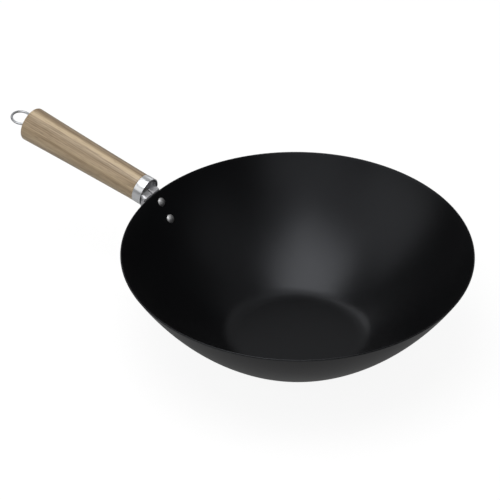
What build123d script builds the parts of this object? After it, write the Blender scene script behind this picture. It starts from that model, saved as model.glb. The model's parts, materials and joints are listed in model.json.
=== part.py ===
from build123d import *
import math
import os

# Carbon steel wok with a flat base and one long wooden grip.
# Millimetres. The origin is the centre of the base, +Z is up and the grip points along +X.

# Bowl: one spun sheet, sized on its outer surface
rim_radius = 177.5
bowl_depth = 106.6
base_radius = 60.0
base_corner_radius = 36.0
wall_arc_radius = 285.4
bowl_sheet = 1.5

# Line of the handle, from the centre of the ferrule's mouth
mouth_gap = 9.4
mouth_drop = 3.1
handle_tilt_degrees = 9.6

# Ferrule: a drawn steel collar, a little wider at its mouth
ferrule_length = 10.5
ferrule_mouth_radius = 15.4
ferrule_rear_radius = 15.25
ferrule_sheet = 0.9

# Grip: turned wood, slightly waisted, with a spigot that the ferrule is pressed on
grip_length = 146.8
grip_front_radius = 15.1
grip_butt_radius = 18.5
grip_waist_sag = 0.25
grip_butt_edge = 3.0
grip_shoulder_edge = 0.5
spigot_length = 3.5
spigot_edge = 0.6
spigot_clearance = 0.05

# Hanging loop: one wire, the eye behind the butt and the tie rod through the grip
wire_diameter = 2.5
eye_outer_diameter = 23.0
eye_stand_off = 1.0
eye_bend_radius = 3.5
eye_end_gap = 0.8
thread_diameter = 3.0
thread_length = 8.0
thread_stand_out = 0.6
thread_end_chamfer = 0.4
bore_clearance = 0.3
bore_mouth_chamfer = 2.6

# Nut on the tie rod
nut_width = 5.5
nut_thickness = 2.2
nut_edge_chamfer = 0.3
thread_clearance = 0.03

# Bracket: one pressed sheet, a plate on the wall folded into a box neck with a split top
bracket_sheet = 1.6
bracket_bend = 2.2
neck_width = 26.0
neck_rise = 3.0
neck_drop = 5.8
flap_slope_degrees = 22.9
flap_lap = 1.6
flap_end_gap = 3.2
flap_nose_radius = 1.4
relief_depth = 4.2
seam_width = 0.8
seam_depth = 2.4
seam_edge = 1.0
shoulder_gap = 0.6
shoulder_drop = 10.0
cheek_reach = 32.0
cheek_foot = 3.5
cheek_arc_radius = 48.0
plate_top = 4.0
plate_bottom = 39.5
plate_inset = 0.6
plate_corner_radius = 8.0
plate_top_corner_radius = 2.5
tab_rise = 5.6
tab_gap = 0.4
rod_hole_clearance = 0.35

# Rivets: a domed head inside the bowl and an upset tail inside the bracket
rivet_drop = 11.0
rivet_spacing = 20.0
rivet_shank_diameter = 5.0
rivet_head_diameter = 9.4
rivet_head_height = 2.5
rivet_tail_diameter = 7.4
rivet_tail_height = 1.4
rivet_tail_edge = 0.5
rivet_hole_clearance = 0.05

# Gap under a piece that is seated on a curved face, and how far a cutter runs past its cut
seat_gap = 0.05
overrun = 6.0

# Places on the handle's line, counted outwards from the ferrule's mouth
tilt = math.radians(handle_tilt_degrees)
handle_frame = Plane(
    origin=(rim_radius + mouth_gap, 0, bowl_depth - mouth_drop),
    x_dir=(math.cos(tilt), 0, math.sin(tilt)),
    z_dir=(-math.sin(tilt), 0, math.cos(tilt)),
)
spigot_face = ferrule_length - spigot_length
tab_face = spigot_face - bracket_sheet
butt_face = ferrule_length + grip_length
wire_radius = wire_diameter / 2
thread_radius = thread_diameter / 2
bore_radius = thread_radius + bore_clearance
rod_end = tab_face - nut_thickness - thread_stand_out
eye_radius = eye_outer_diameter / 2 - wire_radius
eye_centre = butt_face + eye_stand_off + eye_outer_diameter / 2
bracket_back = seat_gap + bracket_sheet
outer_bend = bracket_bend + bracket_sheet


def face_of(lines):
    """Flat face inside a closed loop of lines and arcs."""
    return make_face([edge for line in lines for edge in line.edges()])


def turned(section):
    """Solid turned about the local X axis from a section drawn above it."""
    return revolve(section, Axis.X)


def on_handle(shape):
    """Puts a shape that is drawn about the local X axis on the line of the handle."""
    return handle_frame.location * shape


def on_line(along, above):
    """Point in the XZ plane, measured along and square to the handle's line."""
    return handle_frame.from_local_coords((along, 0, above))


def below_level(angle):
    """Unit vector in the XZ plane that points outwards, at an angle below level."""
    return Vector(math.cos(angle), 0, -math.sin(angle))


# Wall of the bowl: one large arc that runs into the corner arc of the base


def wall_arc_centre():
    """Centre of the wall's arc, which holds the rim and is tangent to the base's corner arc."""
    rim = Vector(rim_radius, 0, bowl_depth)
    to_corner = Vector(base_radius, 0, base_corner_radius) - rim
    span = to_corner.length
    corner_distance = wall_arc_radius - base_corner_radius
    along = (wall_arc_radius**2 - corner_distance**2 + span**2) / (2 * span)
    aside = math.sqrt(wall_arc_radius**2 - along**2)
    run = to_corner.normalized()
    return rim + run * along + Vector(run.Z, 0, -run.X) * aside


arc_centre = wall_arc_centre()
rim_lean = math.atan2(arc_centre.Z - bowl_depth, rim_radius - arc_centre.X)
corner_lean = math.atan2(arc_centre.Z - base_corner_radius, base_radius - arc_centre.X)


def wall_point(lean, outward=0):
    """Point at a distance outside the wall where its normal leans so far below level."""
    return arc_centre + below_level(lean) * (wall_arc_radius + outward)


def lean_at(distance_below_rim):
    """Lean of the wall's normal at a distance down the outer wall from the rim."""
    return rim_lean + distance_below_rim / wall_arc_radius


def wall_curve(outward):
    """Section of the surface at a distance outside the bowl: base, corner arc, wall arc."""
    corner_centre = Vector(base_radius, 0, base_corner_radius)
    corner_radius = base_corner_radius + outward
    foot = Vector(base_radius, 0, -outward)
    halfway = below_level((corner_lean + math.pi / 2) / 2)
    join = corner_centre + below_level(corner_lean) * corner_radius
    wall_middle = wall_point((corner_lean + rim_lean) / 2, outward)
    return [
        Line((0, 0, -outward), foot),
        ThreePointArc(foot, corner_centre + halfway * corner_radius, join),
        ThreePointArc(join, wall_middle, wall_point(rim_lean, outward)),
    ]


def spun(section):
    """Solid spun about the Z axis, with its seam turned away from the handle."""
    return Rot(0, 0, 90) * revolve(section, Axis.Z)


def inside_wall(outward):
    """All the room within the surface at a distance outside the bowl, closed above the rim."""
    top = wall_point(rim_lean, outward)
    lid_height = bowl_depth + rim_radius
    lid = Polyline(top, (top.X, 0, lid_height), (0, 0, lid_height), (0, 0, -outward))
    return spun(face_of(wall_curve(outward) + [lid]))


def rivet_frame(lean):
    """Plane on the outer wall, with its X axis along the outward normal."""
    return Plane(origin=wall_point(lean), x_dir=below_level(lean), z_dir=(0, 1, 0))


def wall_frame(lean):
    """Plane on the outer wall, with its X axis down the wall and its Z axis outwards."""
    down_the_wall = below_level(lean + math.pi / 2)
    return Plane(origin=wall_point(lean), x_dir=down_the_wall, z_dir=below_level(lean))


def rivet_leans():
    """Leans of the wall at the upper and the lower rivet."""
    return [lean_at(rivet_drop), lean_at(rivet_drop + rivet_spacing)]


def rivet_hole(lean):
    """Cutter for one rivet's hole, square to the wall."""
    hole_radius = rivet_shank_diameter / 2 + rivet_hole_clearance
    return rivet_frame(lean).location * turned(bar_section(-overrun, overrun, hole_radius))


def bar_section(start, end, radius):
    """Section of a round bar about the local X axis."""
    return face_of([Polyline((start, 0), (end, 0), (end, radius), (start, radius), close=True)])


def bowl():
    """Spun bowl with a rounded cut edge and the two rivet holes."""
    outer_rim = wall_point(rim_lean)
    inner_rim = wall_point(rim_lean, -bowl_sheet)
    up_the_wall = below_level(rim_lean - math.pi / 2)
    edge_middle = (outer_rim + inner_rim) / 2 + up_the_wall * (bowl_sheet / 2)
    rim_edge = ThreePointArc(outer_rim, edge_middle, inner_rim)
    middle_line = Line((0, 0, 0), (0, 0, bowl_sheet))
    section = wall_curve(0) + [rim_edge] + wall_curve(-bowl_sheet) + [middle_line]
    shell = spun(face_of(section))
    for lean in rivet_leans():
        shell -= rivet_hole(lean)
    return shell


# Bracket


def flap_line(inset):
    """Ends of the sloping top, first inside the bowl and then in the ferrule's mouth."""
    slope = below_level(-math.radians(flap_slope_degrees))
    inwards = Vector(slope.Z, 0, -slope.X) * inset
    mouth_end = on_line(0, neck_rise) + slope * flap_lap
    slope_run = mouth_end.X - wall_point(lean_at(plate_bottom)).X
    return mouth_end - slope * slope_run + inwards, mouth_end + inwards


def flap_tip():
    """Point on the middle of the sloping top where the flaps end, a little outside the rim."""
    start, end = flap_line(0)
    slope = (end - start).normalized()
    return end - slope * ((end.X - rim_radius - flap_end_gap) / slope.X)


def across(lines, width):
    """Prism of a closed outline in the XZ plane, cut across the handle's line."""
    return extrude(face_of(lines), width / 2, dir=(0, 1, 0), both=True)


def rounded_folds(prism, place, width, bend_radius):
    """Rounds the two edges of a prism that run beside a place on its middle plane."""
    sides = [Vector(0, -width / 2, 0), Vector(0, width / 2, 0)]
    folds = [prism.edges().sort_by_distance(place + side)[0] for side in sides]
    return fillet(folds, bend_radius)


def against_wall(prism, outward, width, bend_radius):
    """Trims a prism to the wall and rounds its folds beside the wall."""
    beside_wall = wall_point(lean_at(rivet_drop + rivet_spacing / 2), outward)
    return rounded_folds(prism - inside_wall(outward), beside_wall, width, bend_radius)


def cheek_foot_arc():
    """Hollow lower edge of a cheek, from the shoulder under the ferrule to its foot."""
    shoulder = on_line(-shoulder_gap, -shoulder_drop)
    foot = wall_point(lean_at(cheek_reach), cheek_foot)
    half_chord = (foot - shoulder).length / 2
    rise = cheek_arc_radius - math.sqrt(cheek_arc_radius**2 - half_chord**2)
    run = (foot - shoulder).normalized()
    middle = (foot + shoulder) / 2 + Vector(run.Z, 0, -run.X) * rise
    return ThreePointArc(shoulder, middle, foot)


def relief_cut():
    """Cutter between the wall and the flaps' ends, which it leaves with a rounded nose."""
    start, end = flap_line(0)
    tip = flap_tip()
    slope = (end - start).normalized()
    above = Vector(-slope.Z, 0, slope.X)
    nose_centre = tip + (slope - above) * flap_nose_radius
    nose_middle = nose_centre + (above - slope).normalized() * flap_nose_radius
    nose_front = nose_centre - slope * flap_nose_radius
    nose_top = nose_centre + above * flap_nose_radius
    outline = [
        ThreePointArc(nose_front, nose_middle, nose_top),
        Polyline(
            nose_top,
            nose_top + above * overrun,
            start + above * overrun,
            start - above * relief_depth,
            tip - above * relief_depth,
            nose_front,
        ),
    ]
    return across(outline, neck_width + overrun)


def neck_outside():
    """Outer form of the cheeks, the split top and the end tab, still solid."""
    start, end = flap_line(0)
    foot_arc = cheek_foot_arc()
    shoulder, foot = foot_arc @ 0, foot_arc @ 1
    neck_corner = on_line(-shoulder_gap, -neck_drop)
    within_bowl = wall_point(lean_at(cheek_reach), -overrun)
    front_outline = [
        Polyline(start, end, on_line(flap_lap, -neck_drop), neck_corner, shoulder),
        foot_arc,
        Polyline(foot, within_bowl, start),
    ]
    rear_outline = Polyline(
        end,
        on_line(flap_lap, tab_rise),
        on_line(spigot_face, tab_rise),
        on_line(spigot_face, -neck_drop),
        neck_corner,
        close=True,
    )
    front = across(front_outline, neck_width) - relief_cut()
    front = rounded_folds(front, (flap_tip() + end) / 2, neck_width, outer_bend)
    rear = across([rear_outline], neck_width)
    rear = rounded_folds(rear, on_line(spigot_face, 0), neck_width, outer_bend)
    return against_wall(front, seat_gap, neck_width, outer_bend) + rear


def neck_inside():
    """Room inside the folded sheet, open underneath and open above the nut."""
    start, end = flap_line(bracket_sheet)
    end_above = flap_line(-overrun)[1]
    down = on_line(0, -cheek_reach) - on_line(0, 0)
    low = -neck_drop - overrun
    front_outline = Polyline(start, end, end + down, start + down, close=True)
    rear_outline = Polyline(
        end,
        end_above,
        on_line(tab_face, tab_rise + overrun),
        on_line(tab_face, low),
        on_line(-shoulder_gap, low),
        close=True,
    )
    width = neck_width - 2 * bracket_sheet
    front = across([front_outline], width)
    front = rounded_folds(front, (flap_tip() + end) / 2, width, bracket_bend)
    rear = across([rear_outline], width)
    rear = rounded_folds(rear, on_line(tab_face, 0), width, bracket_bend)
    return against_wall(front, bracket_back, width, bracket_bend) + rear


def seam_cut():
    """Cutter for the split that leaves the top as two flaps with rounded edges."""
    start, end = flap_line(0)
    slope = (end - start).normalized()
    side = seam_width / 2
    edge = side + seam_edge
    section = face_of([
        Polyline((side, -seam_edge), (side, -seam_depth), (-side, -seam_depth), (-side, -seam_edge)),
        CenterArc((-edge, -seam_edge), seam_edge, 0, 90),
        Polyline((-edge, 0), (-edge, overrun), (edge, overrun), (edge, 0)),
        CenterArc((edge, -seam_edge), seam_edge, 90, 90),
    ])
    along_seam = Plane(origin=start, x_dir=(0, 1, 0), z_dir=slope)
    return along_seam * extrude(section, (end - start).length)


def tab_cut():
    """Cutter between the end tab and the cheek that it isn't folded from."""
    low = -neck_drop - overrun
    high = tab_rise + overrun
    back = spigot_face + overrun
    corners = [(tab_face, low), (tab_face, high), (back, high), (back, low)]
    slit = across([Polyline(*[on_line(*corner) for corner in corners], close=True)], tab_gap)
    return Pos(0, neck_width / 2 - outer_bend, 0) * slit


def rod_hole():
    """Cutter for the tie rod's hole through the end tab."""
    hole_radius = thread_radius + rod_hole_clearance
    return on_handle(turned(bar_section(rod_end, spigot_face + overrun, hole_radius)))


def wall_plate():
    """Tongue of the sheet that lies on the wall under both rivets."""
    length = plate_bottom - plate_top
    middle = wall_frame(lean_at(plate_top + length / 2))
    outline = Rectangle(length, neck_width - 2 * (outer_bend + plate_inset))
    ends = outline.vertices().group_by(Axis.X)
    outline = fillet(ends[-1], plate_corner_radius)
    outline = fillet(outline.vertices().group_by(Axis.X)[0], plate_top_corner_radius)
    stamp = middle.location * extrude(outline, overrun, both=True)
    return stamp & (inside_wall(bracket_back) - inside_wall(seat_gap))


def bracket():
    """Folded bracket: plate, cheeks, split top and the tab that the nut is drawn against."""
    sheet = neck_outside() - neck_inside() - seam_cut() - tab_cut() - rod_hole()
    sheet += wall_plate()
    for lean in rivet_leans():
        sheet -= rivet_hole(lean)
    return sheet


def rivet(lean):
    """Rivet with a domed head on the inner wall and an upset tail on the bracket's plate."""
    shank_radius = rivet_shank_diameter / 2
    head_radius = rivet_head_diameter / 2
    tail_radius = rivet_tail_diameter / 2
    head_top = -bowl_sheet - rivet_head_height
    head_seat = -bowl_sheet + overrun
    tail_seat = bracket_back - overrun
    tail_side = bracket_back + rivet_tail_edge
    tail_top = bracket_back + rivet_tail_height
    head_section = face_of([
        TangentArc((head_top, 0), (-bowl_sheet, head_radius), tangent=(0, 1)),
        Polyline((-bowl_sheet, head_radius), (head_seat, head_radius), (head_seat, 0), (head_top, 0)),
    ])
    tail_section = face_of([
        TangentArc((tail_top, 0), (tail_side, tail_radius), tangent=(0, 1)),
        Polyline((tail_side, tail_radius), (tail_seat, tail_radius), (tail_seat, 0), (tail_top, 0)),
    ])
    place = rivet_frame(lean).location
    head = (place * turned(head_section)) & inside_wall(-bowl_sheet - seat_gap)
    tail = place * turned(tail_section) - inside_wall(bracket_back + seat_gap)
    shank_start = -bowl_sheet - rivet_head_height / 2
    shank = place * turned(bar_section(shank_start, tail_side, shank_radius))
    return head + shank + tail


# Parts on the handle's line


def ferrule_bore(along):
    """Inner radius of the ferrule at a distance from its mouth."""
    narrowing = (ferrule_mouth_radius - ferrule_rear_radius) * along / ferrule_length
    return ferrule_mouth_radius - ferrule_sheet - narrowing


def ferrule():
    """Drawn collar with a rounded lip at its mouth."""
    lip = ferrule_sheet / 2
    inner_lip = (lip, ferrule_bore(lip))
    outer_lip = (lip, ferrule_bore(lip) + ferrule_sheet)
    outline = [
        ThreePointArc(inner_lip, (0, ferrule_bore(0) + lip), outer_lip),
        Polyline(
            outer_lip,
            (ferrule_length, ferrule_rear_radius),
            (ferrule_length, ferrule_bore(ferrule_length)),
            inner_lip,
        ),
    ]
    return on_handle(turned(face_of(outline)))


def grip():
    """Turned grip with its spigot, a rounded butt and a drilled bore for the tie rod."""
    middle = (ferrule_length + butt_face) / 2
    waist_radius = (grip_front_radius + grip_butt_radius) / 2 - grip_waist_sag
    shoulder = (ferrule_length, grip_front_radius)
    butt_corner = (butt_face, grip_butt_radius)
    spigot_corner = (spigot_face, ferrule_bore(spigot_face) - spigot_clearance)
    section = face_of([
        Polyline(
            (spigot_face, bore_radius),
            spigot_corner,
            (ferrule_length, ferrule_bore(ferrule_length) - spigot_clearance),
            shoulder,
        ),
        ThreePointArc(shoulder, (middle, waist_radius), butt_corner),
        Polyline(
            butt_corner,
            (butt_face, bore_radius + bore_mouth_chamfer),
            (butt_face - bore_mouth_chamfer, bore_radius),
            (spigot_face, bore_radius),
        ),
    ])
    for corner, radius in [
        (butt_corner, grip_butt_edge),
        (shoulder, grip_shoulder_edge),
        (spigot_corner, spigot_edge),
    ]:
        section = fillet(section.vertices().sort_by_distance(corner)[0], radius)
    return on_handle(turned(section))


def hanging_loop():
    """Wire bent to an eye behind the butt, with a straight threaded shank through the grip."""
    reach = eye_radius + eye_bend_radius
    bend_angle = math.acos(eye_bend_radius / reach)
    join_angle = math.pi / 2 - bend_angle
    bend_x = eye_centre - reach * math.cos(join_angle)
    clear = eye_bend_radius + wire_diameter + eye_end_gap
    apart = math.acos((eye_radius**2 + reach**2 - clear**2) / (2 * eye_radius * reach))
    eye_turn = 360 - math.degrees(apart)
    path = [
        Line((rod_end, 0), (bend_x, 0)),
        CenterArc((bend_x, eye_bend_radius), eye_bend_radius, -90, math.degrees(bend_angle)),
        CenterArc((eye_centre, 0), eye_radius, 180 - math.degrees(join_angle), -eye_turn),
    ]
    end_plane = Plane(origin=(rod_end, 0, 0), z_dir=(1, 0, 0))
    wire = sweep(end_plane * Circle(wire_radius), path=Wire([line.edge() for line in path]))
    thread = Polyline(
        (rod_end, 0),
        (rod_end, thread_radius - thread_end_chamfer),
        (rod_end + thread_end_chamfer, thread_radius),
        (rod_end + thread_length, thread_radius),
        (rod_end + thread_length, 0),
        close=True,
    )
    return on_handle(wire + turned(face_of([thread])))


def tie_rod_nut():
    """Hexagon nut on the end tab, with its corners chamfered on both faces."""
    hexagon = RegularPolygon(nut_width / 2, 6, major_radius=False)
    start = tab_face - nut_thickness
    blank = Plane(origin=(start, 0, 0), z_dir=(1, 0, 0)) * extrude(hexagon, nut_thickness)
    corner_radius = nut_width / math.sqrt(3)
    round_blank = Polyline(
        (start, 0),
        (start, corner_radius - nut_edge_chamfer),
        (start + nut_edge_chamfer, corner_radius),
        (tab_face - nut_edge_chamfer, corner_radius),
        (tab_face, corner_radius - nut_edge_chamfer),
        (tab_face, 0),
        close=True,
    )
    hole = bar_section(start - overrun, tab_face + overrun, thread_radius + thread_clearance)
    return on_handle((blank & turned(face_of([round_blank]))) - turned(hole))


def main():
    upper_lean, lower_lean = rivet_leans()
    parts = {
        "bowl": bowl(),
        "bracket": bracket(),
        "rivet_upper": rivet(upper_lean),
        "rivet_lower": rivet(lower_lean),
        "ferrule": ferrule(),
        "grip": grip(),
        "hanging_loop": hanging_loop(),
        "tie_rod_nut": tie_rod_nut(),
    }
    os.makedirs("parts", exist_ok=True)
    for name, shape in parts.items():
        export_step(shape, f"parts/{name}.step")


if __name__ == "__main__":
    main()
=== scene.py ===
# %% [markdown]
# # A coated steel wok, dressed for the camera
#
# The real wok is one spun steel bowl with a black baked coating, one turned wooden grip, and the
# few pieces of steel that hold the two together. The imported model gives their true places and
# sizes, so it is loaded first and never moved. Each later step makes one piece or one finish in
# that same frame: metres, the origin under the middle of the flat base, +Z up, and the grip along
# +X.

# %% Load the wok
import json
import math

import bmesh
import bpy
from mathutils import Matrix, Vector


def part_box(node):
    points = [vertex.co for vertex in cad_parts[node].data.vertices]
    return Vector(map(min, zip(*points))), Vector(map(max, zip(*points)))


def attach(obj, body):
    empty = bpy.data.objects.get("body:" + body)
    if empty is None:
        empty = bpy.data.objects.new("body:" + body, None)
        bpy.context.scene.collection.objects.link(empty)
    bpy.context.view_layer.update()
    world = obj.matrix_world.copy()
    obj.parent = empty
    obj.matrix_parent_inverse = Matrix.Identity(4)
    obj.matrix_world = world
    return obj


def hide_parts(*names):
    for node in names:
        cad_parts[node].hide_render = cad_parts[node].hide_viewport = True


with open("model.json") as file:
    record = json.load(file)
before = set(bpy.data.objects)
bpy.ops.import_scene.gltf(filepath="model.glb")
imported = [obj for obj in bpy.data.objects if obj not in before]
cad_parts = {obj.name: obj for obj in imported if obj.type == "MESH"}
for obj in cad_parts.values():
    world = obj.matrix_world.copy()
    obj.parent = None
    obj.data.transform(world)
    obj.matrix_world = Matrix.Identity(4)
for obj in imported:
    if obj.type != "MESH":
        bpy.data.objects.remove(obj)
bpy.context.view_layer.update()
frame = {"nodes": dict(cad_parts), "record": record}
MM = 0.001
BODY = "root"
print("pieces in the packed wok:", sorted(frame["nodes"]))

# %% [markdown]
# ## Where the camera stands
#
# A product picture of a pan is taken from well above its rim, so that the inside shows, and with
# a long lens, so that the rim stays a true ellipse. The camera could be pointed by eye, but the
# rim's ellipse fixes it: how flat it is gives the pitch, and how much it tapers gives the
# distance. The picture has its own three directions, right, away and up, and the grip lies at a
# bearing among them. One small function turns them into the wok's axes, and the lamps use it too.

# %% Camera
GRIP_BEARING = math.radians(144.5)
CAMERA_PITCH = math.radians(36.013)
CAMERA_LENS = 210.98
CAMERA_PLACE = Vector((-1340.48, 1961.15, 1835.25)) * MM
CAMERA_SIGHT = 50.0


def from_picture(right, away, up):
    """Direction given as the picture shows it, in the wok's own axes."""
    return Matrix.Rotation(-GRIP_BEARING, 3, "Z") @ Vector((right, away, up))


def add_object(name, data):
    """Object in the scene at the origin, unturned."""
    made = bpy.data.objects.new(name, data)
    bpy.context.scene.collection.objects.link(made)
    return made


def add_camera():
    """Camera at its place, with its pitch. Returns the direction in which it looks."""
    camera = add_object("camera", bpy.data.cameras.new("camera"))
    camera.data.lens = CAMERA_LENS
    camera.data.clip_end = CAMERA_SIGHT
    looking = from_picture(0, math.cos(CAMERA_PITCH), -math.sin(CAMERA_PITCH))
    camera.location = CAMERA_PLACE
    camera.rotation_euler = looking.to_track_quat("-Z", "Y").to_euler()
    bpy.context.scene.camera = camera
    return looking


looking = add_camera()
bpy.context.scene.view_settings.view_transform = "Standard"
print("camera looks along", [round(value, 3) for value in looking])

# %% [markdown]
# ## Writing shader maths as sums
#
# A node tree can be built by naming every node and link in turn, but then the thought behind a
# pattern is lost in wiring. Here one small class stands for a wire that carries a value. Adding
# or multiplying two wires adds the Math node that does it, so a pattern reads as the sum that it
# is. Every other kind of node comes from the one method `node`. Geometry Nodes take the same
# Math nodes, so the class serves the shapes as well as the finishes.

# %% A wire of a node tree


def live_socket(sockets, key):
    """Socket by its name, or by its number among those that are in use."""
    in_use = [socket for socket in sockets if socket.enabled]
    if isinstance(key, int):
        return in_use[key] if in_use else None
    return next(socket for socket in in_use if socket.name == key)


class Wire:
    """One output socket of a node tree, and the place that new nodes are added from."""

    def __init__(self, tree, socket=None):
        self.tree = tree
        self.socket = socket

    def node(self, kind, settings={}, sockets={}, output=0):
        """Adds a node: its settings, then the values or wires of its sockets."""
        made = self.tree.nodes.new(kind)
        for name, value in settings.items():
            setattr(made, name, value)
        for key, value in sockets.items():
            socket = live_socket(made.inputs, key)
            if isinstance(value, Wire):
                self.tree.links.new(value.socket, socket)
            else:
                socket.default_value = value
        return Wire(self.tree, live_socket(made.outputs, output))

    def sum_node(self, operation, *values):
        """Math node that works one operation on its values."""
        return self.node("ShaderNodeMath", {"operation": operation}, dict(enumerate(values)))

    def __add__(self, other):
        return self.sum_node("ADD", self, other)

    __radd__ = __add__

    def __sub__(self, other):
        return self.sum_node("SUBTRACT", self, other)

    def __rsub__(self, other):
        return self.sum_node("SUBTRACT", other, self)

    def __mul__(self, other):
        return self.sum_node("MULTIPLY", self, other)

    __rmul__ = __mul__

    def __truediv__(self, other):
        return self.sum_node("DIVIDE", self, other)

    def __rtruediv__(self, other):
        return self.sum_node("DIVIDE", other, self)

    def __pow__(self, other):
        return self.sum_node("POWER", self, other)

    def sin(self):
        return self.sum_node("SINE", self)

    def cos(self):
        return self.sum_node("COSINE", self)

    def clamped(self):
        """The value kept between 0 and 1."""
        return self.sum_node("MINIMUM", self.sum_node("MAXIMUM", self, 0.0), 1.0)

    def part(self, axis):
        """One of the x, y and z parts of a vector."""
        return self.node("ShaderNodeSeparateXYZ", {}, {"Vector": self}, axis)

    def parts(self):
        """All three parts of a vector."""
        return self.part("X"), self.part("Y"), self.part("Z")

    def between(self, first, second):
        """Colour that runs from the first to the second as this value goes from 0 to 1."""
        sockets = {"Factor": self, "A": first, "B": second}
        return self.node("ShaderNodeMix", {"data_type": "RGBA"}, sockets, "Result")


def vector_of(x, y, z):
    """Vector from three parts, of which at least one is a wire."""
    start = next(part for part in (x, y, z) if isinstance(part, Wire))
    return start.node("ShaderNodeCombineXYZ", {}, {"X": x, "Y": y, "Z": z})


print("sums on wires are ready")

# %% [markdown]
# ## Floor
#
# The wok stands in a white room. The white could be had with more light, but then the black
# coating turns grey. So the floor is simply white where the camera looks at it, and lights the
# wok far less than it shows. It takes a small part of its white from the lamps, which is what
# keeps the wok's shadow on it. A gloss or a glass sees the floor as a photographer would dress it
# for a black pan: grey, and under the wok, where the outside of the bowl mirrors it, a darker
# grey that is painted shadow, standing in for the wok's own shade there. The floor lies a tenth
# of a millimetre under the base, because two faces in one plane show through each other.

# %% Floor
WHITE = (1.0, 1.0, 1.0, 1.0)
FLOOR_REACH = 14.0
FLOOR_BELOW = 0.1 * MM
FLOOR_COLOUR = (0.72, 0.72, 0.72, 1.0)
FLOOR_SHADED_COLOUR = (0.11, 0.11, 0.11, 1.0)
FLOOR_OWN_WHITE = 0.905
FLOOR_IN_GLOSS_COLOUR = (0.24, 0.24, 0.24, 1.0)
FLOOR_IN_GLOSS_WHITE = 0.20
# Painted shadow: within this reach of the wok's axis the floor that a gloss sees is darker, for
# the wok's shade under it.
PAINTED_SHADOW_IN_GLOSS_COLOUR = (0.03, 0.03, 0.03, 1.0)
PAINTED_SHADOW_IN_GLOSS_WHITE = 0.245
PAINTED_SHADOW_REACH = 150.0 * MM
PAINTED_SHADOW_FADE = 60.0 * MM


def new_tree(name):
    """Empty material with the wire that its nodes are added from."""
    material = bpy.data.materials.new(name)
    material.use_nodes = True
    material.node_tree.nodes.clear()
    return material, Wire(material.node_tree)


def pattern_place(start):
    """Where a point of a piece is, in the wok's frame, in metres."""
    return start.node("ShaderNodeTexCoord", {}, {}, "Object")


def ray_is(start, kind):
    """1 for a ray of one kind, such as Camera, and 0 for the others."""
    return start.node("ShaderNodeLightPath", {}, {}, "Is %s Ray" % kind)


def in_gloss_or_glass(start):
    """1 for a ray that comes off a gloss or through a glass, and 0 for the others."""
    return (ray_is(start, "Glossy") + ray_is(start, "Transmission")).clamped()


def part_white(start, colour, own_white):
    """Shader that takes part of its white from the lamps and gives the rest itself."""
    lit = start.node("ShaderNodeBsdfDiffuse", {}, {"Color": colour})
    own = start.node("ShaderNodeEmission", {}, {"Color": WHITE, "Strength": own_white})
    return start.node("ShaderNodeAddShader", {}, {0: lit, 1: own})


def mixed(share, first, second):
    """Shader that goes from the first to the second as the share goes from 0 to 1."""
    return share.node("ShaderNodeMixShader", {}, {0: share, 1: first, 2: second})


def floor_material():
    """Floor's faces: one to the camera, one to a gloss with painted shadow, one that lights the
    wok.
    """
    material, start = new_tree("studio_floor")
    lighting = start.node("ShaderNodeBsdfDiffuse", {}, {"Color": FLOOR_COLOUR})
    pictured = part_white(start, FLOOR_SHADED_COLOUR, FLOOR_OWN_WHITE)
    # Painted shadow: a darker floor for a gloss near the wok, fading out beyond its reach.
    painted_shadow_under_wok = part_white(start, PAINTED_SHADOW_IN_GLOSS_COLOUR, PAINTED_SHADOW_IN_GLOSS_WHITE)
    open_floor = part_white(start, FLOOR_IN_GLOSS_COLOUR, FLOOR_IN_GLOSS_WHITE)
    place = pattern_place(start)
    x, y = place.part("X"), place.part("Y")
    from_axis = (x * x + y * y) ** 0.5
    in_the_open = ((from_axis - PAINTED_SHADOW_REACH) / PAINTED_SHADOW_FADE).clamped()
    mirrored = mixed(in_the_open, painted_shadow_under_wok, open_floor)
    unpictured = mixed(in_gloss_or_glass(start), lighting, mirrored)
    shown = mixed(ray_is(start, "Camera"), unpictured, pictured)
    start.node("ShaderNodeOutputMaterial", {}, {"Surface": shown})
    return material


def add_floor():
    """One wide square, under the wok and far beyond it."""
    mesh = bpy.data.meshes.new("floor")
    corners = [(-1, -1), (1, -1), (1, 1), (-1, 1)]
    places = [(x * FLOOR_REACH, y * FLOOR_REACH, -FLOOR_BELOW) for x, y in corners]
    mesh.from_pydata(places, [], [(0, 1, 2, 3)])
    mesh.materials.append(floor_material())
    add_object("floor", mesh)


add_floor()
print("floor is %.0f m across" % (2 * FLOOR_REACH))

# %% [markdown]
# ## World
#
# The room beyond the floor is white to the camera too, so no edge shows where the floor ends. A
# gloss sees it as a soft grey along the horizon that soon fades upwards to almost nothing,
# because a bright ceiling would wash the coating out. The wok itself is lit by a third, weak
# level, and the lamps do the rest.

# %% World
ROOM_FILL = 0.25
ROOM_IN_GLOSS = 0.035
HORIZON_IN_GLOSS = 0.28
HORIZON_FADE = 0.10


def add_world():
    world = bpy.data.worlds.new("studio")
    world.use_nodes = True
    world.node_tree.nodes.clear()
    start = Wire(world.node_tree)
    height = start.node("ShaderNodeTexCoord", {}, {}, "Generated").part("Z")
    above_horizon = (height / HORIZON_FADE).clamped()
    mirrored = HORIZON_IN_GLOSS - above_horizon * (HORIZON_IN_GLOSS - ROOM_IN_GLOSS)
    seen_in_gloss = in_gloss_or_glass(start)
    seen = ray_is(start, "Camera")
    lighting = 1.0 - (seen + seen_in_gloss).clamped()
    strength = seen + seen_in_gloss * mirrored + lighting * ROOM_FILL
    sky = start.node("ShaderNodeBackground", {}, {"Color": WHITE, "Strength": strength})
    start.node("ShaderNodeOutputWorld", {}, {"Surface": sky})
    bpy.context.scene.world = world


add_world()
print("room lights at %.2f and shows at 1" % ROOM_FILL)

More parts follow.
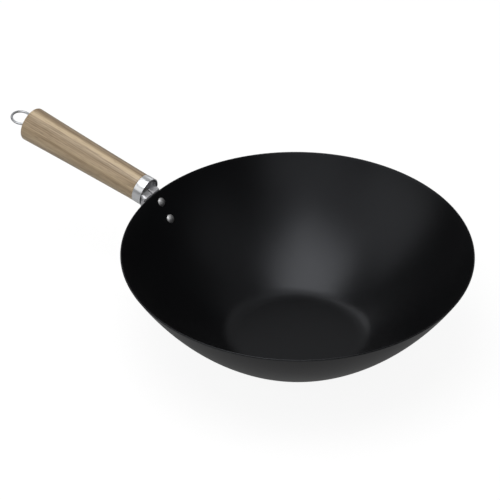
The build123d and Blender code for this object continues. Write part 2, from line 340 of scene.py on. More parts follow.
# %% [markdown]
# ## Lamps
#
# A black coating has almost no colour to light. What the eye reads on it is the lamps that it
# mirrors. One large lamp could light the wok, but then most of the bowl would stay black. So
# eight softboxes stand round it, each where one part of the bowl mirrors it. The key hangs
# overhead, lights the wood and draws the glow at the foot of the back wall. The front one shows
# under the rim of that wall, the side ones in the walls beside it, and those behind in the flat
# base and its corner. A narrow strip that runs along the grip brightens the line on the wood, the
# top of the ferrule and the thin ring at the corner. A lamp's power could be set by eye, but a
# gloss shows the brightness of its face, so that is the value given here, and the power follows
# from the area.

# %% Softboxes
WOK_MIDDLE = Vector((0.0, 0.0, 0.06))
GRIP_RUN = Vector((1, 0, 0))
# Each lamp's direction as the picture shows it, its distance, the width and height of its face
# in metres, and how bright the face is.
SOFTBOXES = {
    "key_softbox": ((-0.14, -0.15, 0.97), 1.6, 1.28, 1.15, 4.15),
    "left_softbox": ((-0.84, -0.20, 0.50), 2.2, 2.1, 1.2, 1.10),
    "front_softbox": ((-0.15, -0.85, 0.52), 2.2, 2.2, 1.2, 0.90),
    "back_softbox": ((0.02, 0.80, 0.60), 2.2, 1.95, 1.0, 0.42),
    "back_left_softbox": ((-0.445, 0.65, 0.61), 2.2, 0.5, 0.5, 2.8),
    "back_right_softbox": ((0.46, 0.48, 0.75), 2.2, 0.9, 0.9, 0.48),
    "low_back_softbox": ((0.26, 0.92, 0.30), 2.2, 0.9, 0.6, 1.3),
    "right_softbox": ((0.70, -0.12, 0.68), 2.2, 1.5, 1.1, 0.33),
}
STRIP = ((-0.088, 0.454, 0.887), 1.9, 1.3, 0.20, 3.0)


def add_softbox(name, direction, distance, width, height, glow, run=None):
    """Rectangular lamp aimed at the wok. Its width lies level, or follows a run that is given."""
    lamp = bpy.data.lights.new(name, "AREA")
    lamp.shape = "RECTANGLE"
    lamp.size = width
    lamp.size_y = height
    lamp.energy = glow * math.pi * width * height
    softbox = add_object(name, lamp)
    towards = from_picture(*direction).normalized()
    softbox.location = WOK_MIDDLE + towards * distance
    level = Vector((0, 0, 1)).cross(towards)
    side = towards.cross(run or level).cross(towards).normalized()
    turn = Matrix((side, towards.cross(side), towards)).transposed()
    softbox.rotation_euler = turn.to_euler()
    softbox.visible_camera = False


for name, shape in SOFTBOXES.items():
    add_softbox(name, *shape)
add_softbox("strip_lamp", *STRIP, run=GRIP_RUN)
print("%d softboxes and a strip" % len(SOFTBOXES))

# %% [markdown]
# ## The black coating
#
# A baked coating on steel is almost black, with a soft sheen. Sprayed and then baked, it keeps a
# fine grain, and under it the faint rings that spinning leaves in the sheet. A flat black would
# look like a hole in the picture. So the colour is held dark, and the life is put in the
# roughness and in a very low bump: grain from a fine noise, and rings from a noise that reads
# only the distance from the middle and the height.

# %% Black coating
COATING = (0.0008, 0.0008, 0.0010, 1.0)
COATING_WORN = (0.0018, 0.0018, 0.0021, 1.0)
COATING_ROUGHNESS = 0.34
COATING_SHEEN_LEVEL = 0.30
COATING_SHEEN_TINT = (0.90, 0.93, 1.0, 1.0)
COATING_RELIEF = 0.03 * MM
GRAIN_SCALE = 1500.0
RING_SCALE = 260.0
CLOUD_SCALE = 18.0
GRAIN_IN_ROUGHNESS = 0.10
CLOUD_IN_ROUGHNESS = 0.06


def noise(place, scale, detail=2.0, roughness=0.5):
    """Soft noise from 0 to 1 with so many features in a metre."""
    sockets = {"Vector": place, "Scale": scale, "Detail": detail, "Roughness": roughness}
    return place.node("ShaderNodeTexNoise", {}, sockets)


def bump(height, distance):
    """Normal that a height from 0 to 1 gives when it stands so many metres proud."""
    return height.node("ShaderNodeBump", {}, {"Distance": distance, "Height": height})


def finish_material(start, sockets):
    """Ends a material in one Principled shader."""
    shader = start.node("ShaderNodeBsdfPrincipled", {}, sockets)
    start.node("ShaderNodeOutputMaterial", {}, {"Surface": shader})


def coating_material():
    material, start = new_tree("black_coating")
    place = pattern_place(start)
    x, y, z = place.parts()
    outwards = (x * x + y * y) ** 0.5
    rings = noise(vector_of(outwards + z * 0.8, 0.0, 0.0), RING_SCALE, 3.0)
    grain = noise(place, GRAIN_SCALE, 3.0, 0.6)
    cloud = noise(place, CLOUD_SCALE)
    uneven = (grain - 0.5) * GRAIN_IN_ROUGHNESS + (cloud - 0.5) * CLOUD_IN_ROUGHNESS
    finish_material(start, {
        "Base Color": (cloud * 0.6 + grain * 0.4).between(COATING, COATING_WORN),
        "Roughness": COATING_ROUGHNESS + uneven,
        "Specular IOR Level": COATING_SHEEN_LEVEL,
        "Specular Tint": COATING_SHEEN_TINT,
        "Normal": bump(grain * 0.75 + rings * 0.25, COATING_RELIEF),
    })
    return material


black_coating = coating_material()
print("coating roughness", COATING_ROUGHNESS)

# %% [markdown]
# ## The turned wood
#
# The grip is turned from a light hardwood, sawn well away from the heart of the tree. Its rings
# are therefore almost flat sheets that run along the grip, and the lathe cuts them into long fine
# streaks, with closed pores between them. Broader bands of grain lie over them, and their pale
# crest is set along the top of the grip, so it is partly a painted highlight. A narrow pale band
# there paints the highlight itself, with a darker band painting shade on each side. The heart
# isn't quite in line with the grip, so the bands drift slowly across it. An image would have to
# be wrapped round the grip and would never match at the butt. Rings made in space, about a heart
# that lies outside the grip, are cut by every face as in real wood: streaks on the side and
# curved lines on the end.

# %% The handle's own axes
eye_mount = next(mount for mount in frame["record"]["mounts"] if mount["name"] == "hanging_eye")
eye_centre = Vector(eye_mount["pos_m"])
across_grip = Vector(eye_mount["axis"])
along_grip = Vector((across_grip.z, 0, -across_grip.x))
grip_tilt = math.atan2(along_grip.z, along_grip.x)


def along_handle(start):
    """Place of a point along, beside and above the handle's line, from the eye's middle."""
    centred = {
        "Vector": pattern_place(start),
        "Location": -(Matrix.Rotation(grip_tilt, 3, "Y") @ eye_centre),
        "Rotation": (0, grip_tilt, 0),
    }
    return start.node("ShaderNodeMapping", {}, centred)


print("grip rises %.1f degrees towards its butt" % math.degrees(grip_tilt))

# %% Turned wood
WOOD_LIGHT = (0.46, 0.362, 0.238, 1.0)
WOOD_DARK = (0.19, 0.131, 0.075, 1.0)
WOOD_PORE = (0.12, 0.082, 0.052, 1.0)
WOOD_ROUGHNESS = 0.32
WOOD_SHEEN_LEVEL = 0.40
WOOD_RELIEF = 0.03 * MM
HEART_ASIDE = 34.0 * MM
HEART_BELOW = 44.6 * MM
HEART_SLOPE = 0.030
RING_SPACING = 1.7 * MM
RING_DRIFT = 3.0 * MM
BAND_WIDTH = 10.9 * MM
# Pale crest of the broad bands, set under the bright line on top of the grip: partly grain,
# partly painted highlight.
PALE_CREST_UNDER_HIGHLIGHT = 70.7 * MM
# Painted highlight and shade: a pale band along the top of the grip, where the bright line lies,
# and a darker band on each side. For each: the distance from the heart, half the width, and how
# much darker it is than the wood round it.
PAINTED_HIGHLIGHT_BANDS = [
    (64.4 * MM, 3.0 * MM, 0.16),
    (70.5 * MM, 1.9 * MM, -0.60),
    (74.8 * MM, 3.0 * MM, 0.30),
]
PORE_LEVEL = 0.57
PORE_SHARPNESS = 9.0
PORE_DARKENS = 0.42


def along_the_grain(parts, shrink, scale, detail=2.0, roughness=0.5):
    """Noise drawn out along the grip, because its pattern is shrunk that way."""
    along, beside, above = parts
    return noise(vector_of(along * shrink, beside, above), scale, detail, roughness)


def grain_and_painted_highlight(parts):
    """Darkness by the distance from the heart: fine rings, broad bands, and painted highlight
    bands.
    """
    along, beside, above = parts
    drift = along_the_grain(parts, 0.25, 60.0)
    aside = beside - HEART_ASIDE
    below = above + HEART_BELOW - along * HEART_SLOPE
    from_heart = (aside * aside + below * below) ** 0.5 + (drift - 0.5) * RING_DRIFT
    ring = (from_heart * (2 * math.pi / RING_SPACING)).sin() * 0.5 + 0.5
    band = 0.5 - ((from_heart - PALE_CREST_UNDER_HIGHLIGHT) * (2 * math.pi / BAND_WIDTH)).cos() * 0.5
    grown = band * 0.26 + ring ** 1.4 * 0.22 + 0.05
    # Painted highlight and shade: the pale band and the darker band on each side of it.
    for band_place, half_width, darker in PAINTED_HIGHLIGHT_BANDS:
        away = (from_heart - band_place) * (1 / half_width)
        grown = grown + (1.0 - away * away).clamped() * darker
    return grown


def wood_material():
    material, start = new_tree("turned_wood")
    parts = along_handle(start).parts()
    fibre = along_the_grain(parts, 0.04, 900.0, 3.0, 0.6)
    streak = along_the_grain(parts, 0.035, 330.0)
    pore_noise = along_the_grain(parts, 0.07, 1300.0, 1.0)
    pores = ((pore_noise - PORE_LEVEL) * PORE_SHARPNESS).clamped()
    tone = (grain_and_painted_highlight(parts) + (streak - 0.5) * 1.15 + fibre * 0.60).clamped()
    wood = tone.between(WOOD_LIGHT, WOOD_DARK)
    finish_material(start, {
        "Base Color": (pores * PORE_DARKENS).between(wood, WOOD_PORE),
        "Roughness": WOOD_ROUGHNESS + pores * 0.15 + (fibre - 0.5) * 0.08,
        "Specular IOR Level": WOOD_SHEEN_LEVEL,
        "Normal": bump(0.6 - pores * 0.6 + fibre * 0.3, WOOD_RELIEF),
    })
    return material


turned_wood = wood_material()
print("rings %.1f mm apart, with %d single bands" % (RING_SPACING / MM, len(PAINTED_HIGHLIGHT_BANDS)))

# %% [markdown]
# ## The bare steels
#
# There is no paint on the handle's fittings. The ferrule is drawn and polished, the bracket is
# pressed from dull plated sheet, the rivets are tumbled, the wire is drawn bright, and the nut is
# zinc-plated. All are the same metal to a shader, so one function makes them all. What tells them
# apart is how rough they are and which way their fine lines run: along the ferrule, the sheet and
# the wire, as they were drawn or rolled, round the nut, as its bar was turned, and no way at all
# on a tumbled rivet.

# %% Bare steels


def steel_material(name, colour, shade, roughness, spread, stretch, scale, depth):
    """Metal with fine lines. stretch shrinks the pattern along, beside and above the handle."""
    material, start = new_tree(name)
    place = along_handle(start)
    shrunk = [part * share for part, share in zip(place.parts(), stretch)]
    lines = noise(vector_of(*shrunk), scale, 3.0, 0.6)
    stain = noise(place, 160.0, 3.0)
    finish_material(start, {
        "Base Color": (lines * 0.5 + stain * 0.5).between(colour, shade),
        "Metallic": 1.0,
        "Roughness": roughness + (lines - 0.5) * spread + (stain - 0.5) * spread,
        "Normal": bump(lines, depth),
    })
    return material


ferrule_steel = steel_material(
    "polished_ferrule", (0.80, 0.81, 0.82, 1), (0.66, 0.67, 0.69, 1),
    roughness=0.30, spread=0.10, stretch=(0.30, 1.0, 1.0), scale=260.0, depth=0.002 * MM,
)
bracket_steel = steel_material(
    "plated_sheet", (0.69, 0.69, 0.71, 1), (0.50, 0.50, 0.52, 1),
    roughness=0.50, spread=0.14, stretch=(0.06, 1.0, 1.0), scale=1400.0, depth=0.02 * MM,
)
rivet_steel = steel_material(
    "tumbled_rivet", (0.47, 0.47, 0.475, 1), (0.35, 0.35, 0.355, 1),
    roughness=0.54, spread=0.14, stretch=(1.0, 1.0, 1.0), scale=1800.0, depth=0.015 * MM,
)
wire_steel = steel_material(
    "drawn_wire", (0.52, 0.53, 0.55, 1), (0.42, 0.43, 0.45, 1),
    roughness=0.40, spread=0.08, stretch=(0.05, 1.0, 1.0), scale=700.0, depth=0.003 * MM,
)
nut_steel = steel_material(
    "zinc_nut", (0.52, 0.51, 0.48, 1), (0.38, 0.37, 0.35, 1),
    roughness=0.38, spread=0.14, stretch=(1.0, 0.1, 0.1), scale=1500.0, depth=0.015 * MM,
)
print("five steels")

# %% [markdown]
# ## The sizes of the bowl
#
# A wok's wall is not a simple bowl curve. A flat disc runs into a small corner arc, and that runs
# into one long arc up to the rim. Each arc starts where the one before it stops, in the same
# direction, so a few lengths fix the whole section. The two turns are worked out here once: how
# far the corner bends the sheet, and how far the wall bends it further.

# %% Sizes of the bowl
RIM_RADIUS = 177.5 * MM
BOWL_DEPTH = 106.6 * MM
BASE_RADIUS = 60.0 * MM
CORNER_RADIUS = 36.0 * MM
WALL_RADIUS = 285.4 * MM
SHEET = 1.5 * MM


def wall_centre():
    """Middle of the wall's arc, as distances from the bowl's axis and above its base."""
    run_out = RIM_RADIUS - BASE_RADIUS
    run_up = BOWL_DEPTH - CORNER_RADIUS
    span = math.hypot(run_out, run_up)
    to_corner = WALL_RADIUS - CORNER_RADIUS
    along = (WALL_RADIUS**2 - to_corner**2 + span**2) / (2 * span)
    aside = math.sqrt(WALL_RADIUS**2 - along**2)
    centre_out = RIM_RADIUS - (run_out * along + run_up * aside) / span
    centre_up = BOWL_DEPTH - (run_up * along - run_out * aside) / span
    return centre_out, centre_up


centre_out, centre_up = wall_centre()
corner_sweep = math.atan2(BASE_RADIUS - centre_out, centre_up - CORNER_RADIUS)
wall_sweep = math.atan2(RIM_RADIUS - centre_out, centre_up - BOWL_DEPTH) - corner_sweep
bowl_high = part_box("bowl")[1]
sweeps = (math.degrees(corner_sweep), math.degrees(wall_sweep))
print("corner turns %.1f degrees, wall %.1f" % sweeps)
print("packed bowl: radius %.2f mm, height %.2f mm" % (bowl_high.y / MM, bowl_high.z / MM))

# %% [markdown]
# ## Growing shapes from rules
#
# Geometry Nodes make a shape from a rule and a few named sizes, so a size can be changed without
# drawing anything again. A tree could be left live on its object, but each piece is handed on as
# a plain mesh. So one helper opens a tree with its inputs, one closes it with a finish, and one
# runs it and keeps only the result.

# %% Helpers for Geometry Nodes


def new_shape_tree(name, inputs):
    """Geometry tree with named inputs. Returns it, its start and a wire for each input."""
    tree = bpy.data.node_groups.new(name, "GeometryNodeTree")
    tree.interface.new_socket("Geometry", in_out="INPUT", socket_type="NodeSocketGeometry")
    for label, value in inputs.items():
        kind = "NodeSocketInt" if isinstance(value, int) else "NodeSocketFloat"
        tree.interface.new_socket(label, in_out="INPUT", socket_type=kind)
    tree.interface.new_socket("Geometry", in_out="OUTPUT", socket_type="NodeSocketGeometry")
    start = Wire(tree)
    given = tree.nodes.new("NodeGroupInput")
    wires = {label: Wire(tree, given.outputs[label]) for label in ["Geometry", *inputs]}
    return tree, start, wires


def end_shape_tree(start, shape, material):
    """Closes a tree: realized, and with its finish."""
    real = start.node("GeometryNodeRealizeInstances", {}, {"Geometry": shape})
    sockets = {"Geometry": real, "Material": material}
    finished = start.node("GeometryNodeSetMaterial", {}, sockets)
    start.node("NodeGroupOutput", {}, {"Geometry": finished})


def smooth(start, shape):
    """The same shape, shaded smooth."""
    sockets = {"Geometry": shape, "Shade Smooth": True}
    return start.node("GeometryNodeSetShadeSmooth", {}, sockets)


def grow(name, data, tree, inputs):
    """Runs a tree on some data with its inputs set, and keeps the result as a plain mesh."""
    source = add_object(name + "_source", data)
    modifier = source.modifiers.new("shape", "NODES")
    modifier.node_group = tree
    sockets = [item for item in tree.interface.items_tree if item.in_out == "INPUT"]
    by_label = {socket.name: socket.identifier for socket in sockets}
    for label, value in inputs.items():
        modifier[by_label[label]] = value
    grown = source.evaluated_get(bpy.context.evaluated_depsgraph_get())
    mesh = bpy.data.meshes.new_from_object(grown)
    source.modifiers.clear()
    bpy.data.objects.remove(source)
    mesh.name = name
    piece = add_object(name, mesh)
    print("%s: %d points, %d faces" % (name, len(mesh.vertices), len(mesh.polygons)))
    return piece


print("ready to grow shapes")

# %% [markdown]
# ## The bowl, by Geometry Nodes
#
# A spinner presses one disc of sheet over a turning form, so the bowl is one section carried
# round the axis. It could be drawn as a profile and spun in mesh code. Geometry Nodes say the
# rule itself: each point of a plain grid has two numbers, one for how far round it is and one for
# how far along the sheet, and sums on those two numbers give its place. The sheet is walked from
# the middle of the underside up to the rim, over the rounded edge and back down inside, so both
# faces and the edge come from the same three pieces: flat, corner, wall.

# %% The bowl's rule
BOWL_INPUTS = {
    "Base Radius": BASE_RADIUS,
    "Corner Radius": CORNER_RADIUS - SHEET / 2,
    "Corner Sweep": corner_sweep,
    "Wall Radius": WALL_RADIUS - SHEET / 2,
    "Wall Sweep": wall_sweep,
    "Sheet": SHEET,
    "Round": 256,
    "Along": 201,
}
EDGE_SHARE = 0.04
MERGE_DISTANCE = 0.002 * MM


def bowl_tree():
    """Tree that bends a flat grid into the sheet of the bowl."""
    tree, start, given = new_shape_tree("spun_bowl", BOWL_INPUTS)
    grid_sockets = {"Vertices X": given["Round"] + 1.0, "Vertices Y": given["Along"]}
    grid = start.node("GeometryNodeMeshGrid", {}, {"Size X": 1.0, "Size Y": 1.0, **grid_sockets})
    here = start.node("GeometryNodeInputPosition")
    bearing = (here.part("X") + 0.5) * (2 * math.pi)
    walked = here.part("Y") + 0.5

    side_share = (1.0 - EDGE_SHARE) / 2
    climb = (walked / side_share).clamped()
    descent = ((walked - (1.0 - side_share)) / side_share).clamped()
    over_edge = ((walked - side_share) / EDGE_SHARE).clamped() * math.pi

    corner_length = given["Corner Radius"] * given["Corner Sweep"]
    wall_length = given["Wall Radius"] * given["Wall Sweep"]
    distance = (climb - descent) * (given["Base Radius"] + corner_length + wall_length)
    on_flat = (distance / given["Base Radius"]).clamped()
    on_corner = ((distance - given["Base Radius"]) / corner_length).clamped()
    on_wall = ((distance - given["Base Radius"] - corner_length) / wall_length).clamped()

    corner_turn = on_corner * given["Corner Sweep"]
    full_turn = corner_turn + on_wall * given["Wall Sweep"]
    corner_out = corner_turn.sin() * given["Corner Radius"]
    corner_up = (1.0 - corner_turn.cos()) * given["Corner Radius"]
    wall_out = (full_turn.sin() - corner_turn.sin()) * given["Wall Radius"]
    wall_up = (corner_turn.cos() - full_turn.cos()) * given["Wall Radius"]

    half_sheet = given["Sheet"] * 0.5
    facing = full_turn + over_edge
    out = on_flat * given["Base Radius"] + corner_out + wall_out + facing.sin() * half_sheet
    up = half_sheet + corner_up + wall_up - facing.cos() * half_sheet
    place = vector_of(out * bearing.cos(), out * bearing.sin(), up)

    bent = start.node("GeometryNodeSetPosition", {}, {"Geometry": grid, "Position": place})
    merge_sockets = {"Geometry": bent, "Distance": MERGE_DISTANCE}
    merged = start.node("GeometryNodeMergeByDistance", {}, merge_sockets)
    end_shape_tree(start, smooth(start, merged), black_coating)
    return tree


def face_outwards(piece):
    """Turns every face of a closed mesh outwards."""
    made = bmesh.new()
    made.from_mesh(piece.data)
    bmesh.ops.recalc_face_normals(made, faces=made.faces)
    if made.calc_volume(signed=True) < 0:
        bmesh.ops.reverse_faces(made, faces=made.faces)
    open_edges = sum(1 for edge in made.edges if not edge.is_manifold)
    print("%s: %.1f ml, %d open edges" % (piece.name, made.calc_volume() * 1e6, open_edges))
    made.to_mesh(piece.data)
    made.free()


bowl = grow("bowl_dressed", bpy.data.meshes.new("grid"), bowl_tree(), BOWL_INPUTS)
face_outwards(bowl)

# %% [markdown]
# ## Turned pieces, on a lathe of our own
#
# The grip, the ferrule and the rivets are all turned or drawn round one axis. A lathe needs only
# half a section, so each piece is an outline of a few corners, with the radius of each rounded
# corner beside it. One function rounds the corners, and one carries the outline round the axis.
# Spinning the outline with bmesh would do as well, but then the seam has to be merged.

# %% A lathe
CORNER_STEPS = 7


def rounded(corners):
    """Outline of corners given as (along, out, radius), with an arc at each rounded corner."""
    outline = []
    for index, (along, out, radius) in enumerate(corners):
        corner = Vector((along, out))
        if not radius:
            outline.append(corner)
            continue
        before = (Vector(corners[index - 1][:2]) - corner).normalized()
        after = (Vector(corners[(index + 1) % len(corners)][:2]) - corner).normalized()
        half_angle = before.angle(after) / 2
        centre = corner + (before + after).normalized() * (radius / math.sin(half_angle))
        start = corner + before * (radius / math.tan(half_angle)) - centre
        turn = before.angle_signed(-after)
        for step in range(CORNER_STEPS + 1):
            outline.append(centre + Matrix.Rotation(-turn * step / CORNER_STEPS, 2) @ start)
    return outline


def turn_on_lathe(name, outline, material, round_steps=128, smooth_degrees=30):
    """Mesh of a closed outline carried round the local X axis, in its own frame."""
    points = []
    rings = []
    for along, out in outline:
        on_axis = abs(out) < MERGE_DISTANCE
        ring = []
        for step in range(1 if on_axis else round_steps):
            angle = 2 * math.pi * step / round_steps
            ring.append(len(points))
            points.append((along, out * math.cos(angle), out * math.sin(angle)))
        rings.append(ring * round_steps if on_axis else ring)
    faces = []
    for ring, following in zip(rings, rings[1:] + rings[:1]):
        for step in range(round_steps):
            beyond = (step + 1) % round_steps
            around = [ring[step], ring[beyond], following[beyond], following[step]]
            face = list(dict.fromkeys(around))
            if len(face) > 2:
                faces.append(face)
    mesh = bpy.data.meshes.new(name)
    mesh.from_pydata(points, [], faces)
    mesh.shade_smooth()
    mesh.materials.append(material)
    piece = add_object(name, mesh)
    face_outwards(piece)
    mesh.set_sharp_from_angle(angle=math.radians(smooth_degrees))
    return piece


print("the lathe is ready")

# %% [markdown]
# ## The line of the handle
#
# Everything behind the rim lies on one line: ferrule, grip, tie rod and eye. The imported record
# gives the middle of the hanging eye and the way it faces, and the sizes along the line are
# counted from the ferrule's mouth, as a maker would lay them out on a drawing.

# %% The handle's line
FERRULE_LENGTH = 10.5 * MM
GRIP_LENGTH = 146.8 * MM
EYE_OUTER_RADIUS = 11.5 * MM
EYE_STAND_OFF = 1.0 * MM
BUTT_FACE = FERRULE_LENGTH + GRIP_LENGTH
EYE_MIDDLE = BUTT_FACE + EYE_STAND_OFF + EYE_OUTER_RADIUS

mouth_centre = eye_centre - along_grip * EYE_MIDDLE
handle_turn = Matrix((along_grip, Vector((0, 1, 0)), across_grip)).transposed()
handle_place = Matrix.Translation(mouth_centre) @ handle_turn.to_4x4()


def on_handle(piece):
    """Puts a piece made about the local X axis on the handle's line, in its mesh."""
    piece.data.transform(handle_place)
    return piece


print("ferrule's mouth at", [round(value / MM, 1) for value in mouth_centre])

# %% [markdown]
# ## The ferrule
#
# The ferrule is a short collar drawn from steel sheet and pressed over the spigot of the grip. It
# keeps the wood from splitting where the bracket pulls on it. Its mouth is rounded over and its
# back edge is nearly sharp against the wood, with the finest line of shadow between them.

# %% Ferrule
FERRULE_MOUTH_RADIUS = 15.4 * MM
FERRULE_REAR_RADIUS = 15.25 * MM
FERRULE_SHEET = 0.9 * MM
FERRULE_BACK_EDGE = 0.25 * MM
# A shade under half the sheet, so that the two roundings of the lip don't quite meet.
LIP_SHARE = 0.49


def ferrule_corners():
    lip = FERRULE_SHEET * LIP_SHARE
    inside = FERRULE_MOUTH_RADIUS - FERRULE_SHEET
    inside_rear = FERRULE_REAR_RADIUS - FERRULE_SHEET
    return [
        (0, inside, lip),
        (0, FERRULE_MOUTH_RADIUS, lip),
        (FERRULE_LENGTH, FERRULE_REAR_RADIUS, FERRULE_BACK_EDGE),
        (FERRULE_LENGTH, inside_rear, 0),
    ]


ferrule = on_handle(turn_on_lathe("ferrule_dressed", rounded(ferrule_corners()), ferrule_steel))

# %% [markdown]
# ## The grip
#
# A long grip is turned between centres. It swells towards the butt and has the faintest waist, so
# that it sits in the hand and doesn't slide out. The side could be an arc through three radii,
# but a straight taper less a shallow hollow is as true and easier to read. At the front a spigot
# enters the ferrule, and the butt has a small sunk cone round the wire, where the drill that
# cleared the bore was let in a little deeper.

# %% Grip
SPIGOT_FACE = 7.0 * MM
SPIGOT_CLEARANCE = 0.05 * MM
SPIGOT_EDGE = 0.6 * MM
GRIP_FRONT_RADIUS = 15.1 * MM
GRIP_FRONT_EDGE = 0.5 * MM
GRIP_BUTT_RADIUS = 18.5 * MM
GRIP_BUTT_EDGE = 3.0 * MM
GRIP_WAIST_SAG = 0.25 * MM
GRIP_SIDE_STEPS = 20
BORE_RADIUS = 1.8 * MM
BORE_CONE = 2.6 * MM
BORE_CONE_EDGE = 0.3 * MM


def grip_corners():
    spigot = FERRULE_REAR_RADIUS - FERRULE_SHEET - SPIGOT_CLEARANCE
    corners = [
        (SPIGOT_FACE, BORE_RADIUS, 0),
        (SPIGOT_FACE, spigot, SPIGOT_EDGE),
        (FERRULE_LENGTH, spigot, 0),
        (FERRULE_LENGTH, GRIP_FRONT_RADIUS, GRIP_FRONT_EDGE),
    ]
    for step in range(1, GRIP_SIDE_STEPS):
        share = step / GRIP_SIDE_STEPS
        straight = GRIP_FRONT_RADIUS + (GRIP_BUTT_RADIUS - GRIP_FRONT_RADIUS) * share
        waist = GRIP_WAIST_SAG * 4 * share * (1 - share)
        corners.append((FERRULE_LENGTH + GRIP_LENGTH * share, straight - waist, 0))
    return corners + [
        (BUTT_FACE, GRIP_BUTT_RADIUS, GRIP_BUTT_EDGE),
        (BUTT_FACE, BORE_RADIUS + BORE_CONE, BORE_CONE_EDGE),
        (BUTT_FACE - BORE_CONE, BORE_RADIUS, 0),
    ]


grip_outline = rounded(grip_corners())
grip = on_handle(turn_on_lathe("grip_dressed", grip_outline, turned_wood, round_steps=160))

# %% [markdown]
# ## The rivets, placed by Geometry Nodes
#
# Two rivets go through the wall, one below the other, and both are the same rivet. So one is
# turned on the lathe: a low dome inside the bowl, the shank, and the tail that the press spread
# over the bracket's plate. Geometry Nodes then set one on each place down the wall. Each place is
# found by its distance down the wall, because a rivet stands square to the wall there, and the
# wall turns under it.

# %% Rivet and its places
RIVET_HEAD_RADIUS = 4.7 * MM
RIVET_HEAD_HEIGHT = 2.5 * MM
RIVET_HEAD_SKIRT = 0.2 * MM
RIVET_TAIL_RADIUS = 3.7 * MM
RIVET_TAIL_HEIGHT = 1.4 * MM
RIVET_TAIL_SKIRT = 0.5 * MM
RIVET_SHANK_RADIUS = 2.5 * MM
BRACKET_BACK = 1.65 * MM
DOME_STEPS = 12
RIVET_INPUTS = {
    "Rivets": 2,
    "Drop": 11.0 * MM,
    "Spacing": 20.0 * MM,
    "Wall Radius": WALL_RADIUS,
    "Centre Out": centre_out,
    "Centre Up": centre_up,
    "Rim Lean": math.pi / 2 - corner_sweep - wall_sweep,
}


def dome(seat, radius, height, skirt):
    """Points from the top of a low dome, over its edge, and down a short skirt to its seat."""
    rise = height - skirt
    ball = (radius**2 + rise**2) / (2 * rise)
    full = math.asin(radius / ball)
    points = []
    for step in range(DOME_STEPS + 1):
        turn = full * step / DOME_STEPS
        points.append((seat + height - ball * (1 - math.cos(turn)), ball * math.sin(turn)))
    return points + [(seat, radius)]


def rivet_outline():
    """Half section from the top of the tail, down the shank, to the top of the head."""
    tail = dome(BRACKET_BACK, RIVET_TAIL_RADIUS, RIVET_TAIL_HEIGHT, RIVET_TAIL_SKIRT)
    head = dome(SHEET, RIVET_HEAD_RADIUS, RIVET_HEAD_HEIGHT, RIVET_HEAD_SKIRT)
    shank = [(BRACKET_BACK, RIVET_SHANK_RADIUS), (-SHEET, RIVET_SHANK_RADIUS)]
    return tail + shank + [(-along, out) for along, out in reversed(head)]


def rivet_tree(blank):
    """Tree that sets the blank on its places down the wall, square to it."""
    tree, start, given = new_shape_tree("rivets_down_the_wall", RIVET_INPUTS)
    places = start.node("GeometryNodeMeshLine", {}, {"Count": given["Rivets"]})
    number = start.node("GeometryNodeInputIndex")
    walked = given["Drop"] + number * given["Spacing"]
    lean = given["Rim Lean"] + walked / given["Wall Radius"]
    out = given["Centre Out"] + lean.cos() * given["Wall Radius"]
    up = given["Centre Up"] - lean.sin() * given["Wall Radius"]
    place_sockets = {"Geometry": places, "Position": vector_of(out, 0.0, up)}
    down_the_wall = start.node("GeometryNodeSetPosition", {}, place_sockets)
    rivet = start.node("GeometryNodeObjectInfo", {}, {"Object": blank}, "Geometry")
    square_to_wall = vector_of(0.0, lean, 0.0)
    set_rivets = {"Points": down_the_wall, "Instance": rivet, "Rotation": square_to_wall}
    riveted = start.node("GeometryNodeInstanceOnPoints", {}, set_rivets)
    end_shape_tree(start, riveted, rivet_steel)
    return tree


rivet_blank = turn_on_lathe(
    "rivet_blank", rivet_outline(), rivet_steel, round_steps=64, smooth_degrees=40)
no_points = bpy.data.meshes.new("places")
rivets = grow("rivets_dressed", no_points, rivet_tree(rivet_blank), RIVET_INPUTS)
bpy.data.objects.remove(rivet_blank)

# %% [markdown]
# ## The hanging loop
#
# One wire does two jobs. Its straight part is the tie rod that runs through the whole grip, and
# its end is bent aside and round into the eye. The path is straight, then a small bend, then the
# ring, each leaving in the direction in which the last arrived. A curve with a bevel would give
# the tube too, but Curve to Mesh keeps the wire's thickness as an input of its own and closes
# both ends.

# %% Hanging loop
WIRE_RADIUS = 1.25 * MM
EYE_BEND_RADIUS = 3.5 * MM
EYE_END_GAP = 0.8 * MM
ROD_END = 2.6 * MM
ROD_STEPS = 30
BEND_STEPS = 12
EYE_STEPS = 96
LOOP_INPUTS = {"Wire Radius": WIRE_RADIUS, "Sides": 28}


def arc_points(centre, radius, first, sweep, steps):
    """Points on an arc, with its first angle and its sweep in radians."""
    points = []
    for step in range(1, steps + 1):
        turn = first + sweep * step / steps
        points.append((centre[0] + radius * math.cos(turn), centre[1] + radius * math.sin(turn)))
    return points


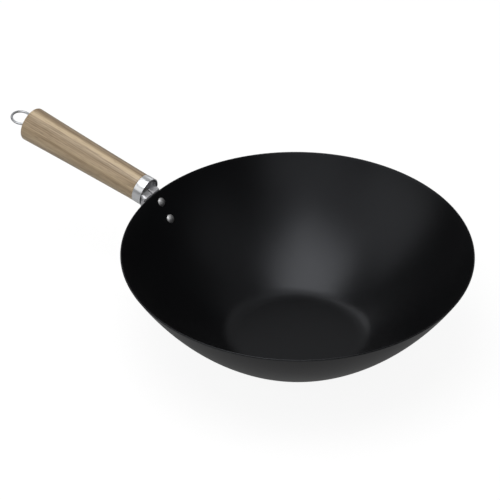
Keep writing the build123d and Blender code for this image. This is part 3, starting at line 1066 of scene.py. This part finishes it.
def loop_path():
    """Middle line of the wire in the handle's frame: along the rod, the bend, the eye."""
    eye_radius = EYE_OUTER_RADIUS - WIRE_RADIUS
    reach = eye_radius + EYE_BEND_RADIUS
    bend_turn = math.acos(EYE_BEND_RADIUS / reach)
    join = math.pi / 2 - bend_turn
    bend_along = EYE_MIDDLE - reach * math.cos(join)
    bend_centre = (bend_along, EYE_BEND_RADIUS)
    clear = EYE_BEND_RADIUS + 2 * WIRE_RADIUS + EYE_END_GAP
    apart = math.acos((eye_radius**2 + reach**2 - clear**2) / (2 * eye_radius * reach))
    rod_length = bend_along - ROD_END
    rod = [(ROD_END + rod_length * step / ROD_STEPS, 0) for step in range(ROD_STEPS + 1)]
    bend = arc_points(bend_centre, EYE_BEND_RADIUS, -math.pi / 2, bend_turn, BEND_STEPS)
    eye_sweep = apart - 2 * math.pi
    eye = arc_points((EYE_MIDDLE, 0), eye_radius, math.pi - join, eye_sweep, EYE_STEPS)
    return rod + bend + eye


def loop_curve():
    """Path of the wire as a plain curve in its own frame."""
    curve = bpy.data.curves.new("loop_path", "CURVE")
    curve.dimensions = "3D"
    path = loop_path()
    spline = curve.splines.new("POLY")
    spline.points.add(len(path) - 1)
    for point, (along, aside) in zip(spline.points, path):
        point.co = (along, aside, 0, 1)
    return curve


def loop_tree():
    """Tree that carries a small circle along a path and closes both ends."""
    tree, start, given = new_shape_tree("wire_on_a_path", LOOP_INPUTS)
    ring_sockets = {"Resolution": given["Sides"], "Radius": given["Wire Radius"]}
    ring = start.node("GeometryNodeCurvePrimitiveCircle", {}, ring_sockets, "Curve")
    sockets = {"Curve": given["Geometry"], "Profile Curve": ring, "Fill Caps": True}
    tube = start.node("GeometryNodeCurveToMesh", {}, sockets)
    end_shape_tree(start, smooth(start, tube), wire_steel)
    return tree


hanging_loop = on_handle(grow("hanging_loop_dressed", loop_curve(), loop_tree(), LOOP_INPUTS))
face_outwards(hanging_loop)

# %% [markdown]
# ## The folded bracket and the nut
#
# The bracket and the nut already have their true folds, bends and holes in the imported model, so
# there is nothing to make again. They keep their shapes and get their finish.

# %% Bracket and nut
for node, material in [("bracket", bracket_steel), ("tie_rod_nut", nut_steel)]:
    packed = frame["nodes"][node]
    packed.data.materials.clear()
    packed.data.materials.append(material)
bracket_low, bracket_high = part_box("bracket")
print("bracket spans", [round(value / MM, 1) for value in bracket_high - bracket_low])

# %% [markdown]
# ## What moves with what, and what each piece stands for
#
# Nothing on this wok moves against the rest, so every piece rides on the one body. Each made
# piece takes the place of the imported pieces that it dresses.

# %% Ride and replace
for piece, slot, nodes in [
    (bowl, "coated_steel", ["bowl"]),
    (rivets, "rivet_steel", ["rivet_upper", "rivet_lower"]),
    (ferrule, "ferrule_steel", ["ferrule"]),
    (grip, "turned_wood", ["grip"]),
    (hanging_loop, "wire_steel", ["hanging_loop"]),
]:
    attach(piece, BODY)
    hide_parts(*nodes)
    print("%s stands for %s" % (piece.name, ", ".join(nodes)))
